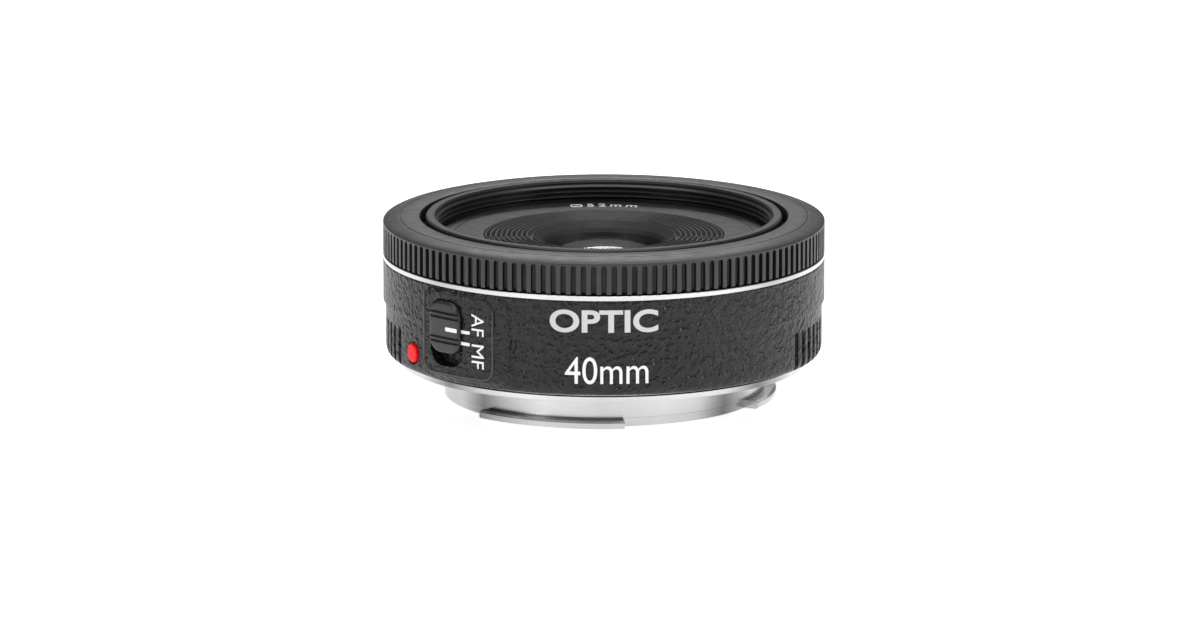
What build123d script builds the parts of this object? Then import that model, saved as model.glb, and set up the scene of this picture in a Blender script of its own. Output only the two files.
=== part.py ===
from build123d import *
import math
import os

# Prime "pancake" camera lens, standing on its bayonet mount.
# Millimetres. +Z is the optical axis towards the subject (up). The origin is the
# centre of the bayonet flange's seating face. Angles called theta are measured
# about +Z from the -Y direction, positive towards +X.

# ---- overall sizes -------------------------------------------------------
BODY_R = 34.1            # largest radius of the body
LENGTH = 22.8            # front rim above the flange face
FLANGE_R = 31.7
SPIGOT_R = 24.85
SPIGOT_BORE_R = 23.2
SHOULDER_Z = -4.0
REAR_Z = -5.35
LUG_R = 26.7
MOUNT_SCREW_R = 28.3
MOUNT_SCREW_THETAS = [40, 140, 215, 325]
CONTACTS = 7
CONTACT_R = 20.6
CONTACT_PITCH = 5.4      # degrees
CONTACT_SCREW_R = 20.2
CONTACT_SCREW_THETAS = (157.5, 202.5)
LUGS = [(-45.6, 6.9), (62.0, 121.0), (183.0, 235.0)]
SKIRT_R = 33.7           # lower part of the body
SKIN_IN_R = 32.3
TRIM_Z = 16.2            # underside of the silver ring
RING_Z = 17.2            # underside of the focus ring
RIBS = 138
FLUTE_PITCH = 4.0        # degrees between the grip flutes
FLUTE_ARCS = [(61.4, 117.4), (-116.6, -68.6)]
FLUTE_R = 0.6
FLUTE_TOP_Z = 6.9        # centre of the flutes' round tops

# ---- focus movement ------------------------------------------------------
TRAVEL = 7.2             # barrel extension
CAM_TURN = 100.0         # cam ring turn for the full extension
PIN_Z = 10.7             # cam follower height with the barrel in
PIN_R = 1.2
SLOT_W = 2.52
FOLLOWER_THETAS = [30.0, 150.0, 270.0]
TUBE_IN_R = 26.2
TUBE_OUT_R = 27.5
GUIDE_IN_R = 27.7
GUIDE_OUT_R = 28.9
CAM_IN_R = 29.0
CAM_OUT_R = 30.2
CARRIER_Z = 16.6         # underside of the disc that carries the lens cell
LEDGE_R = 24.6           # ledge the disc rests on

# ---- focus gear train ----------------------------------------------------
CAM_TEETH = 150
IDLER_TEETH = 20
SMALL_TEETH = 14
LARGE_TEETH = 38
PINION_TEETH = 14
DRIVE_MODULE = 0.4
MOTOR_MODULE = 0.3
GEAR_THETA = 100.0       # where the idler meets the cam ring
CAM_PITCH_R = CAM_TEETH * DRIVE_MODULE / 2
IDLER_R = CAM_PITCH_R - IDLER_TEETH * DRIVE_MODULE / 2
SMALL_DIST = (IDLER_TEETH + SMALL_TEETH) * DRIVE_MODULE / 2
GEAR_R = 20.4            # radius at which the reduction gear sits
MOTOR_DIST = (LARGE_TEETH + PINION_TEETH) * MOTOR_MODULE / 2
MOTOR_AXIS_R = 20.0

# ---- AF/MF switch --------------------------------------------------------
SWITCH_THETA = -44.35
SWITCH_TRAVEL = 1.8
KNOB_LOW_Z = 6.15
KNOB_TOP_Z = 14.3
KNOB_WIDTH = 6.3
KNOB_GROOVES = (12.57, 11.8, 8.73, 8.0)
SLOT_LOW_Z = KNOB_LOW_Z - SWITCH_TRAVEL - 0.15
SLOT_TOP_Z = KNOB_TOP_Z + 0.15
SLOT_WIDTH = KNOB_WIDTH + 0.3
SLOT_CORNER = 2.4
PANEL_THETA = -41.1
PANEL_R = 34.6
PANEL_WIDTH = 14.3
PANEL_LOW_Z = 2.75
PANEL_TOP_Z = 15.45
BULGE_THETA = -39.1      # raised area of the barrel round the panel
BULGE_R = 34.35
DOT_THETA = -60.2
DOT_Z = 4.5

# ---- iris ----------------------------------------------------------------
BLADES = 7
BLADE_T = 0.08
BLADE_STEP = 0.12
BLADE_Z = 6.42           # lowest blade
PIVOT_R = 11.3
DRIVE_D = 2.2
BLADE_TURN = 28.0
IRIS_TURN = 14.0
IRIS_TEETH = 90
IRIS_PINION_TEETH = 12
IRIS_MODULE = 0.3
IRIS_MOTOR_THETA = -60.0

# ---- optics: vertex heights and radii, front to rear ---------------------
LENSES = [
    # name, front z, front radius, rear z, rear radius, rim, front clear, rear clear
    ("lens_1", 18.7, 24.0, 15.9, 42.9, 9.1, 9.1, 9.1),
    ("lens_2", 15.7, 18.4, 11.9, 58.9, 8.2, 8.2, 8.2),
    ("lens_3", 11.9, 58.9, 10.9, 9.2, 8.2, 8.2, 6.5),
    ("lens_4", 2.8, -11.7, 1.8, 66.1, 7.0, 6.0, 7.0),
    ("lens_5", 1.8, 66.1, -1.4, -16.6, 7.0, 7.0, 7.0),
    ("lens_6", -1.6, 89.6, -4.2, -32.3, 8.0, 8.0, 8.0),
]


# ---- helpers -------------------------------------------------------------
def at(r, theta, z=0.0):
    """Point at radius r and angle theta from -Y towards +X."""
    a = math.radians(theta)
    return (r * math.sin(a), -r * math.cos(a), z)


def radial_plane(theta):
    """Plane holding the axis: local x is the radius, local y is +Z."""
    a = math.radians(theta - 90)
    return Plane(
        origin=(0, 0, 0),
        x_dir=(math.cos(a), math.sin(a), 0),
        z_dir=(math.sin(a), -math.cos(a), 0),
    )


def facing_plane(r, theta, z):
    """Plane at radius r facing outward: local x along the body, local y is +Z."""
    a = math.radians(theta)
    return Plane(
        origin=at(r, theta, z),
        x_dir=(math.cos(a), math.sin(a), 0),
        z_dir=(math.sin(a), -math.cos(a), 0),
    )


def turned(points):
    """Solid of revolution of an (r, z) outline about the optical axis."""
    with BuildPart() as solid:
        with BuildSketch(Plane.XZ):
            with BuildLine():
                Polyline(*points, close=True)
            make_face()
        revolve(axis=Axis.Z)
    return solid.part


def sector(points, theta_0, theta_1):
    """Part-turn revolution of an (r, z) outline from theta_0 to theta_1."""
    with BuildPart() as solid:
        with BuildSketch(radial_plane(theta_0)):
            with BuildLine():
                Polyline(*points, close=True)
            make_face()
        revolve(axis=Axis.Z, revolution_arc=theta_1 - theta_0)
    return solid.part


def rod(r, x, y, z0, z1):
    """Cylinder parallel to the axis."""
    return Pos(x, y, (z0 + z1) / 2) * Cylinder(r, z1 - z0, mode=Mode.PRIVATE)


def cone(x, y, z, r_low, r_high, height):
    """Cone parallel to the axis, centred at height z."""
    return Pos(x, y, z) * Cone(r_low, r_high, height, mode=Mode.PRIVATE)


def drive_slots(x, y, z, theta, length, width, depth):
    """Two crossed bars that cut the driving recess of a screw head."""
    bars = []
    for turn in (theta, theta + 90):
        bars.append(Pos(x, y, z) * Rot(0, 0, turn) * Box(length, width, depth, mode=Mode.PRIVATE))
    return bars


def radial_rod(r, theta, z, r0, r1):
    """Cylinder along the radius at theta."""
    with BuildPart() as solid:
        with BuildSketch(facing_plane(r0, theta, z)):
            Circle(r)
        extrude(amount=r1 - r0)
    return solid.part


def shell_patch(r0, r1, theta, z0, z1, width, corner):
    """Rounded rectangle cut out of a cylindrical wall, seen along the radius."""
    with BuildPart() as solid:
        with BuildSketch(facing_plane(20.0, theta, (z0 + z1) / 2)):
            RectangleRounded(width, z1 - z0, corner)
        extrude(amount=20.0)
        with BuildSketch(Plane.XY.offset(z0 - 1)):
            Circle(r1)
            Circle(r0, mode=Mode.SUBTRACT)
        extrude(amount=z1 - z0 + 2, mode=Mode.INTERSECT)
    return solid.part


def sag(radius, r):
    """Depth of a spherical surface at distance r from its vertex."""
    return r * r / (radius * (1 + math.sqrt(1 - (r / radius) ** 2)))


def involute(angle):
    return math.tan(angle) - angle


def half_tooth(teeth, module, r, thin):
    """Half the angle, in radians, that an involute tooth fills at radius r."""
    pitch_r = teeth * module / 2
    base_r = pitch_r * math.cos(math.radians(20))
    here = math.acos(min(1.0, base_r / max(r, base_r)))
    at_pitch = math.pi / (2 * teeth) - thin / pitch_r
    return at_pitch + involute(math.radians(20)) - involute(here)


def gear_part(teeth, module, z0, z1, phase, bore):
    """External spur gear with one tooth centred at the angle phase (degrees)."""
    pitch_r = teeth * module / 2
    root = pitch_r - 1.2 * module
    tip = pitch_r + 0.8 * module
    base = max(root + 0.01, pitch_r * math.cos(math.radians(20)))
    middle = (base + tip) / 2

    def spot(r, angle):
        return (r * math.cos(angle), r * math.sin(angle))

    with BuildPart() as solid:
        with BuildSketch(Plane.XY.offset(z0)):
            with BuildLine():
                for i in range(teeth):
                    a = math.radians(phase) + 2 * math.pi * i / teeth
                    b = a + 2 * math.pi / teeth
                    w_base, w_mid, w_tip = [
                        half_tooth(teeth, module, r, 0.03) for r in (base, middle, tip)
                    ]
                    Line(spot(root, a - w_base), spot(base, a - w_base))
                    ThreePointArc(spot(base, a - w_base), spot(middle, a - w_mid), spot(tip, a - w_tip))
                    Line(spot(tip, a - w_tip), spot(tip, a + w_tip))
                    ThreePointArc(spot(tip, a + w_tip), spot(middle, a + w_mid), spot(base, a + w_base))
                    Line(spot(base, a + w_base), spot(root, a + w_base))
                    Line(spot(root, a + w_base), spot(root, b - w_base))
            make_face()
            Circle(bore, mode=Mode.SUBTRACT)
        extrude(amount=z1 - z0)
    return solid.part


def tooth_gap(teeth, module, z0, z1, angle):
    """Space between two teeth of an internal gear, centred at angle (degrees)."""
    pitch_r = teeth * module / 2
    root = pitch_r + 1.2 * module
    tip = pitch_r - 1.1 * module
    middle = (root + tip) / 2
    widths = [half_tooth(teeth, module, r, -0.03) for r in (tip, middle, root)]
    a = math.radians(angle)

    def spot(r, side):
        return (r * math.cos(a + side), r * math.sin(a + side))

    with BuildPart() as solid:
        with BuildSketch(Plane.XY.offset(z0)):
            with BuildLine():
                ThreePointArc(spot(tip, -widths[0]), spot(middle, -widths[1]), spot(root, -widths[2]))
                Line(spot(root, -widths[2]), spot(root, widths[2]))
                ThreePointArc(spot(root, widths[2]), spot(middle, widths[1]), spot(tip, widths[0]))
                Line(spot(tip, widths[0]), spot(tip, -widths[0]))
            make_face()
        extrude(amount=z1 - z0)
    return solid.part


def direction(start, end):
    """Angle in degrees, about +Z from +X, of the way from start to end."""
    return math.degrees(math.atan2(end[1] - start[1], end[0] - start[0]))


# ---- gear centres --------------------------------------------------------
def theta_from(centre_r, centre_theta, r, distance):
    """Angle at radius r that is a given distance from a centre, further round."""
    c = (centre_r ** 2 + r ** 2 - distance ** 2) / (2 * centre_r * r)
    return centre_theta + math.degrees(math.acos(c))


REDUCTION_THETA = theta_from(IDLER_R, GEAR_THETA, GEAR_R, SMALL_DIST)
MOTOR_THETA = theta_from(GEAR_R, REDUCTION_THETA, MOTOR_AXIS_R, MOTOR_DIST)
IDLER_AT = at(IDLER_R, GEAR_THETA)
REDUCTION_AT = at(GEAR_R, REDUCTION_THETA)
MOTOR_AT = at(MOTOR_AXIS_R, MOTOR_THETA)
TO_CAM = direction((0, 0), IDLER_AT)
IDLER_TO_SMALL = direction(IDLER_AT, REDUCTION_AT)
LARGE_TO_MOTOR = direction(REDUCTION_AT, MOTOR_AT)
IRIS_DIST = (IRIS_TEETH + IRIS_PINION_TEETH) * IRIS_MODULE / 2
IRIS_MOTOR_AT = at(IRIS_DIST, IRIS_MOTOR_THETA)

os.makedirs("parts", exist_ok=True)


# ---- bayonet mount -------------------------------------------------------
with BuildPart() as bayonet_mount:
    add(turned([
        (SPIGOT_BORE_R, 1.2), (31.4, 1.2), (31.4, 1.0), (FLANGE_R - 0.15, 1.0), (FLANGE_R, 0.85),
        (FLANGE_R, 0.15), (FLANGE_R - 0.15, 0.0), (SPIGOT_R, 0.0), (SPIGOT_R, SHOULDER_Z + 0.1),
        (SPIGOT_R - 0.1, SHOULDER_Z), (24.6, SHOULDER_Z), (24.6, REAR_Z + 0.15),
        (24.45, REAR_Z), (SPIGOT_BORE_R, REAR_Z),
    ]))
    for start, end in LUGS:
        add(sector([
            (24.3, -4.07), (26.3, -4.07), (LUG_R, -4.4), (LUG_R, -5.15), (26.55, -5.3), (24.3, -5.3),
        ], start, end))
    for theta in MOUNT_SCREW_THETAS:
        x, y, _ = at(MOUNT_SCREW_R, theta)
        add(rod(0.85, x, y, -0.1, 1.3), mode=Mode.SUBTRACT)
        add(cone(x, y, 0.35, 1.65, 0.85, 0.72), mode=Mode.SUBTRACT)
    with BuildSketch(Plane.XY.offset(-0.1)):
        with Locations(Location(at(28.4, 20)[:2] + (0,), (0, 0, 110))):
            SlotOverall(3.6, 2.2)
    extrude(amount=0.9, mode=Mode.SUBTRACT)
bayonet_mount.part.label = "bayonet_mount"
export_step(bayonet_mount.part, "parts/bayonet_mount.step")

with BuildPart() as mount_screws:
    for theta in MOUNT_SCREW_THETAS:
        x, y, _ = at(MOUNT_SCREW_R, theta)
        add(cone(x, y, 0.36, 1.6, 0.8, 0.68))
        add(rod(0.8, x, y, 0.6, 2.15))
        add(drive_slots(x, y, 0.1, theta, 1.5, 0.34, 0.5), mode=Mode.SUBTRACT)
mount_screws.part.label = "mount_screws"
export_step(mount_screws.part, "parts/mount_screws.step")

# ---- rear cover and electrical contacts ----------------------------------
with BuildPart() as rear_cover:
    add(turned([
        (11.3, -4.9), (11.7, -5.2), (16.4, -5.2), (16.9, -4.9), (22.3, -4.9), (22.6, -5.2), (23.15, -5.2),
        (23.15, -3.4), (22.4, -3.4), (22.4, -4.1), (12.2, -4.1), (12.2, -2.6), (11.3, -2.6),
    ]))
    add(sector([(17.3, -6), (24, -6), (24, -3), (17.3, -3)], 154, 206), mode=Mode.SUBTRACT)
    for theta in (60, 300):
        x, y, _ = at(19.6, theta)
        add(rod(1.0, x, y, -5.3, -4.6), mode=Mode.SUBTRACT)
rear_cover.part.label = "rear_cover"
export_step(rear_cover.part, "parts/rear_cover.step")

CONTACT_THETAS = [180 + (i - (CONTACTS - 1) / 2) * CONTACT_PITCH for i in range(CONTACTS)]
with BuildPart() as contact_block:
    add(sector([(17.4, -5.2), (17.6, -5.3), (22.7, -5.3), (22.9, -5.2), (22.9, -3.5), (17.4, -3.5)],
               154.5, 205.5))
    for theta in CONTACT_THETAS:
        x, y, _ = at(CONTACT_R, theta)
        add(rod(0.85, x, y, -5.4, -3.4), mode=Mode.SUBTRACT)
    for theta in CONTACT_SCREW_THETAS:
        x, y, _ = at(CONTACT_SCREW_R, theta)
        add(rod(0.5, x, y, -5.4, -3.4), mode=Mode.SUBTRACT)
        add(rod(0.95, x, y, -5.4, -4.8), mode=Mode.SUBTRACT)
contact_block.part.label = "contact_block"
export_step(contact_block.part, "parts/contact_block.step")

with BuildPart() as contact_pins:
    for theta in CONTACT_THETAS:
        x, y, _ = at(CONTACT_R, theta)
        add(rod(0.82, x, y, -5.3, -3.2))
        add(cone(x, y, -5.325, 0.62, 0.82, 0.05))
contact_pins.part.label = "contact_pins"
export_step(contact_pins.part, "parts/contact_pins.step")

with BuildPart() as contact_screws:
    for theta in CONTACT_SCREW_THETAS:
        x, y, _ = at(CONTACT_SCREW_R, theta)
        add(rod(0.9, x, y, -5.25, -4.82))
        add(rod(0.45, x, y, -4.9, -3.0))
        add(drive_slots(x, y, -5.25, theta, 1.1, 0.26, 0.4), mode=Mode.SUBTRACT)
contact_screws.part.label = "contact_screws"
export_step(contact_screws.part, "parts/contact_screws.step")

# ---- outer barrel, index dot and trim ring -------------------------------
with BuildPart() as outer_barrel:
    add(turned([
        (30.5, 1.2), (31.6, 1.2), (31.6, 1.4), (32.8, 1.4), (33.3, 1.6), (33.6, 2.0), (SKIRT_R, 2.5),
        (SKIRT_R, 8.4), (BODY_R, 9.7), (BODY_R, TRIM_Z), (31.8, TRIM_Z), (31.8, 18.4), (31.4, 18.4),
        (31.4, 19.2), (31.8, 19.2), (31.8, 19.8), (31.6, 20.0), (30.6, 20.0), (30.6, 14.7),
        (SKIN_IN_R, 14.7), (SKIN_IN_R, 9.4), (31.9, 8.3), (31.9, 2.1), (30.5, 2.1),
    ]))
    # raised area round the switch panel
    add(shell_patch(33.0, BULGE_R, BULGE_THETA, 2.3, 15.9, 17.2, 2.6))
    add(shell_patch(33.4, 36.0, PANEL_THETA, PANEL_LOW_Z - 0.02, PANEL_TOP_Z + 0.02,
                    PANEL_WIDTH + 0.04, 2.0), mode=Mode.SUBTRACT)
    add(shell_patch(30.0, 36.0, SWITCH_THETA, SLOT_LOW_Z, SLOT_TOP_Z, SLOT_WIDTH, SLOT_CORNER), mode=Mode.SUBTRACT)
    # grip flutes, open at the bottom and rounded at the top
    for first, last in FLUTE_ARCS:
        for i in range(int((last - first) / FLUTE_PITCH) + 1):
            x, y, _ = at(SKIRT_R + 0.1, first + i * FLUTE_PITCH)
            add(rod(FLUTE_R, x, y, 1.0, FLUTE_TOP_Z), mode=Mode.SUBTRACT)
            add(Pos(x, y, FLUTE_TOP_Z) * Sphere(FLUTE_R, mode=Mode.PRIVATE), mode=Mode.SUBTRACT)
    # seat of the index dot
    add(radial_rod(1.55, DOT_THETA, DOT_Z, 33.1, 36), mode=Mode.SUBTRACT)
    # recess for the ring sensor
    add(sector([(30.55, 17.9), (31.3, 17.9), (31.3, 20.1), (30.55, 20.1)], 236, 244), mode=Mode.SUBTRACT)
outer_barrel.part.label = "outer_barrel"
export_step(outer_barrel.part, "parts/outer_barrel.step")

with BuildPart() as switch_plate:
    add(shell_patch(33.42, PANEL_R, PANEL_THETA, PANEL_LOW_Z, PANEL_TOP_Z, PANEL_WIDTH, 2.0))
    # the raised border runs down both sides and along the bottom only
    add(shell_patch(34.45, 36.0, PANEL_THETA, PANEL_LOW_Z + 0.35, PANEL_TOP_Z + 2, PANEL_WIDTH - 0.7, 1.7),
        mode=Mode.SUBTRACT)
    add(shell_patch(30.0, 36.0, SWITCH_THETA, SLOT_LOW_Z, SLOT_TOP_Z, SLOT_WIDTH, SLOT_CORNER), mode=Mode.SUBTRACT)
switch_plate.part.label = "switch_plate"
export_step(switch_plate.part, "parts/switch_plate.step")

with BuildPart() as index_dot:
    add(radial_rod(1.5, DOT_THETA, DOT_Z, 33.12, 33.75))
    with BuildSketch(facing_plane(0, DOT_THETA, DOT_Z)):
        Circle(1.5)
    extrude(amount=33.95)
    add(radial_rod(2.0, DOT_THETA, DOT_Z, 0, 33.12), mode=Mode.SUBTRACT)
    fillet(index_dot.edges().sort_by(Axis(at(0, DOT_THETA, DOT_Z), at(1, DOT_THETA)))[-1], 0.3)
index_dot.part.label = "index_dot"
export_step(index_dot.part, "parts/index_dot.step")

with BuildPart() as trim_ring:
    add(turned([(31.85, TRIM_Z), (BODY_R - 0.1, TRIM_Z), (BODY_R, TRIM_Z + 0.1), (BODY_R, 16.9),
                (BODY_R - 0.1, 17.0), (31.85, 17.0)]))
trim_ring.part.label = "trim_ring"
export_step(trim_ring.part, "parts/trim_ring.step")

# ---- guide barrel: fixed, straight slots ---------------------------------
with BuildPart() as guide_barrel:
    add(turned([
        (26.8, 1.2), (30.4, 1.2), (30.4, 2.2), (28.2, 2.2), (28.2, 8.2), (GUIDE_OUT_R, 8.2),
        (GUIDE_OUT_R, 20.2), (GUIDE_IN_R, 20.2), (GUIDE_IN_R, 8.7), (26.8, 8.7),
    ]))
    for theta in FOLLOWER_THETAS:
        with BuildSketch(facing_plane(26.5, theta, PIN_Z + TRAVEL / 2)):
            SlotOverall(TRAVEL + SLOT_W, SLOT_W, rotation=90)
        extrude(amount=4, mode=Mode.SUBTRACT)
    with BuildSketch(facing_plane(24, GEAR_THETA, 4.6)):
        Rectangle(11.4, 4.4)
    extrude(amount=6, mode=Mode.SUBTRACT)
    for theta in MOUNT_SCREW_THETAS:
        x, y, _ = at(MOUNT_SCREW_R, theta)
        add(rod(0.82, x, y, 1.0, 2.2), mode=Mode.SUBTRACT)
guide_barrel.part.label = "guide_barrel"
export_step(guide_barrel.part, "parts/guide_barrel.step")

with BuildPart() as cam_retaining_ring:
    add(sector([(28.92, 19.95), (30.3, 19.95), (30.3, 20.2), (28.92, 20.2)], 8, 352))
cam_retaining_ring.part.label = "cam_retaining_ring"
export_step(cam_retaining_ring.part, "parts/cam_retaining_ring.step")

with BuildPart() as snap_ring:
    add(sector([(31.45, 18.5), (32.2, 18.5), (32.2, 19.1), (31.45, 19.1)], 186, 534))
snap_ring.part.label = "snap_ring"
export_step(snap_ring.part, "parts/snap_ring.step")

# ---- circuit board and sensors -------------------------------------------
with BuildPart() as circuit_board:
    with BuildSketch(Plane.XY.offset(1.22)):
        Circle(25.7)
        Circle(12.4, mode=Mode.SUBTRACT)
    extrude(amount=0.7)
circuit_board.part.label = "circuit_board"
export_step(circuit_board.part, "parts/circuit_board.step")

CHIPS = [(-20, 19.5, 6.0, 6.0), (20, 19.0, 5.0, 4.0), (50, 20.5, 3.0, 3.0), (205, 19.5, 7.0, 5.0),
         (240, 18.5, 3.2, 3.2), (266, 22.5, 2.0, 1.4), (330, 22.8, 2.0, 1.4), (66, 22.5, 2.0, 1.4)]
with BuildPart() as board_chips:
    for theta, r, w, d in CHIPS:
        x, y, _ = at(r, theta)
        add(Pos(x, y, 1.93 + 0.5) * Rot(0, 0, theta) * Box(w, d, 1.0, mode=Mode.PRIVATE))
board_chips.part.label = "board_chips"
export_step(board_chips.part, "parts/board_chips.step")

with BuildPart() as ring_sensor:
    add(sector([(30.62, 18.0), (31.25, 18.0), (31.25, 19.95), (30.62, 19.95)], 236.4, 243.6))
ring_sensor.part.label = "ring_sensor"
export_step(ring_sensor.part, "parts/ring_sensor.step")

# ---- focus drive: plate, bridge, shafts, motor ---------------------------
with BuildPart() as gear_base_plate:
    add(sector([(14.0, 1.95), (26.7, 1.95), (26.7, 2.45), (14.0, 2.45)], GEAR_THETA - 22, MOTOR_THETA + 14))
    for centre in (IDLER_AT, REDUCTION_AT):
        add(rod(0.5, centre[0], centre[1], 1.5, 3.0), mode=Mode.SUBTRACT)
gear_base_plate.part.label = "gear_base_plate"
export_step(gear_base_plate.part, "parts/gear_base_plate.step")

POST_THETA = GEAR_THETA - 16     # first edge of the bridge and its near post
with BuildPart() as gear_bridge:
    add(sector([(14.6, 6.4), (26.68, 6.4), (26.68, 6.95), (14.6, 6.95)], POST_THETA, MOTOR_THETA + 14))
    add(sector([(24.6, 2.47), (26.5, 2.47), (26.5, 6.5), (24.6, 6.5)], POST_THETA, POST_THETA + 5))
    add(sector([(24.6, 2.47), (26.5, 2.47), (26.5, 6.5), (24.6, 6.5)], MOTOR_THETA + 8, MOTOR_THETA + 14))
    add(rod(0.5, REDUCTION_AT[0], REDUCTION_AT[1], 6, 7.5), mode=Mode.SUBTRACT)
    add(rod(0.5, IDLER_AT[0], IDLER_AT[1], 6, 7.5), mode=Mode.SUBTRACT)
    add(rod(2.7, MOTOR_AT[0], MOTOR_AT[1], 6, 7.5), mode=Mode.SUBTRACT)
gear_bridge.part.label = "gear_bridge"
export_step(gear_bridge.part, "parts/gear_bridge.step")

with BuildPart() as gear_shafts:
    for centre in (IDLER_AT, REDUCTION_AT):
        add(rod(0.48, centre[0], centre[1], 1.97, 6.93))
gear_shafts.part.label = "gear_shafts"
export_step(gear_shafts.part, "parts/gear_shafts.step")

with BuildPart() as gearbox_screws:
    for theta in (POST_THETA + 2.5, MOTOR_THETA + 11):
        x, y, _ = at(25.5, theta)
        add(rod(0.8, x, y, 6.97, 7.6))
        add(drive_slots(x, y, 7.6, theta, 1.1, 0.26, 0.5), mode=Mode.SUBTRACT)
gearbox_screws.part.label = "gearbox_screws"
export_step(gearbox_screws.part, "parts/gearbox_screws.step")

with BuildPart() as focus_motor:
    add(rod(4.0, MOTOR_AT[0], MOTOR_AT[1], 6.97, 14.8))
    fillet(focus_motor.edges().sort_by(Axis.Z)[-1], 0.5)
    add(rod(1.6, MOTOR_AT[0], MOTOR_AT[1], 14.8, 15.2))
focus_motor.part.label = "focus_motor"
export_step(focus_motor.part, "parts/focus_motor.step")

pinion_phase = LARGE_TO_MOTOR + 180 + 180 / PINION_TEETH
with BuildPart() as motor_pinion:
    add(Pos(*MOTOR_AT) * gear_part(PINION_TEETH, MOTOR_MODULE, 4.75, 6.1, pinion_phase, 0.4))
    add(rod(0.4, MOTOR_AT[0], MOTOR_AT[1], 4.6, 6.6))
motor_pinion.part.label = "motor_pinion"
export_step(motor_pinion.part, "parts/motor_pinion.step")

small_phase = IDLER_TO_SMALL + 180 + 180 / SMALL_TEETH
with BuildPart() as reduction_gear:
    add(Pos(*REDUCTION_AT) * gear_part(LARGE_TEETH, MOTOR_MODULE, 4.8, 5.9, LARGE_TO_MOTOR, 0.52))
    add(Pos(*REDUCTION_AT) * gear_part(SMALL_TEETH, DRIVE_MODULE, 2.8, 4.8, small_phase, 0.52))
reduction_gear.part.label = "reduction_gear"
export_step(reduction_gear.part, "parts/reduction_gear.step")

# the idler's teeth meet the small wheel on one side and the cam ring on the other
with BuildPart() as idler_gear:
    add(Pos(*IDLER_AT) * gear_part(IDLER_TEETH, DRIVE_MODULE, 2.8, 4.4, IDLER_TO_SMALL, 0.52))
idler_gear.part.label = "idler_gear"
export_step(idler_gear.part, "parts/idler_gear.step")

# ---- cam ring ------------------------------------------------------------
# Where an idler tooth points along the line of centres, a gap of the ring waits.
IDLER_PITCH = 360 / IDLER_TEETH
IDLER_OFFSET = (TO_CAM - IDLER_TO_SMALL + IDLER_PITCH / 2) % IDLER_PITCH - IDLER_PITCH / 2
CAM_GAP_AT = TO_CAM - IDLER_OFFSET * IDLER_TEETH / CAM_TEETH
CAM_PITCH = 360 / CAM_TEETH

with BuildPart() as helix_cutter:
    with BuildLine() as helix_path:
        Helix(pitch=TRAVEL * 360 / CAM_TURN, height=TRAVEL, radius=29.6, center=(0, 0, PIN_Z), lefthand=True)
    start = helix_path.line @ 0
    along = helix_path.line % 0
    with BuildSketch(Plane(origin=start, x_dir=(1, 0, 0), z_dir=along)):
        Rectangle(3.6, SLOT_W)
    sweep(is_frenet=True)
    with BuildSketch(Plane(origin=(28.0, 0, PIN_Z), x_dir=(0, 1, 0), z_dir=(1, 0, 0))):
        Circle(SLOT_W / 2)
    extrude(amount=3.2)
    end_angle = math.radians(-CAM_TURN)
    end_dir = (math.cos(end_angle), math.sin(end_angle), 0)
    with BuildSketch(Plane(
        origin=(28.0 * end_dir[0], 28.0 * end_dir[1], PIN_Z + TRAVEL),
        x_dir=(-end_dir[1], end_dir[0], 0), z_dir=end_dir,
    )):
        Circle(SLOT_W / 2)
    extrude(amount=3.2)

with BuildPart() as cam_ring:
    add(turned([
        (CAM_IN_R, 8.4), (31.1, 8.4), (31.1, 2.6), (30.55, 2.6), (30.55, 7.6), (CAM_IN_R, 7.6),
    ]))
    add(turned([(CAM_IN_R, 7.7), (CAM_OUT_R, 7.7), (CAM_OUT_R, 19.8), (CAM_IN_R, 19.8)]))
    sector_start = CAM_GAP_AT + 90 - 44.5 * CAM_PITCH
    sector_end = CAM_GAP_AT + 90 + 3.5 * CAM_PITCH
    add(sector([(29.68, 2.7), (30.6, 2.7), (30.6, 4.6), (29.68, 4.6)], sector_start, sector_end))
    for i in range(-44, 4):
        add(tooth_gap(CAM_TEETH, DRIVE_MODULE, 2.5, 4.8, CAM_GAP_AT + i * CAM_PITCH), mode=Mode.SUBTRACT)
    for theta in FOLLOWER_THETAS:
        add(Rot(0, 0, theta - 90) * helix_cutter.part, mode=Mode.SUBTRACT)
cam_ring.part.label = "cam_ring"
export_step(cam_ring.part, "parts/cam_ring.step")

# ---- focus ring ----------------------------------------------------------
with BuildPart() as focus_ring:
    add(turned([
        (31.9, RING_Z), (33.95, RING_Z), (BODY_R, RING_Z + 0.15), (BODY_R, 21.9), (33.9, 22.1),
        (31.62, 22.65), (31.56, 22.51), (31.46, 22.51), (31.4, 22.65), (28.55, 22.65), (28.4, 22.5),
        (28.4, 20.6), (31.9, 20.6), (31.9, 19.3), (32.35, 19.3), (32.35, 18.3), (31.9, 18.3),
    ]))
    with BuildSketch(facing_plane(BODY_R - 0.62, 0, 18.6)):
        SlotOverall(6.2, 0.78, rotation=90)
    rib_groove = extrude(amount=2, mode=Mode.PRIVATE)
    add([Rot(0, 0, i * 360 / RIBS) * rib_groove for i in range(RIBS)], mode=Mode.SUBTRACT)
focus_ring.part.label = "focus_ring"
export_step(focus_ring.part, "parts/focus_ring.step")

with BuildPart() as encoder_strip:
    add(turned([(30.7, 20.3), (31.85, 20.3), (31.85, 20.59), (30.7, 20.59)]))
encoder_strip.part.label = "encoder_strip"
export_step(encoder_strip.part, "parts/encoder_strip.step")

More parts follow.
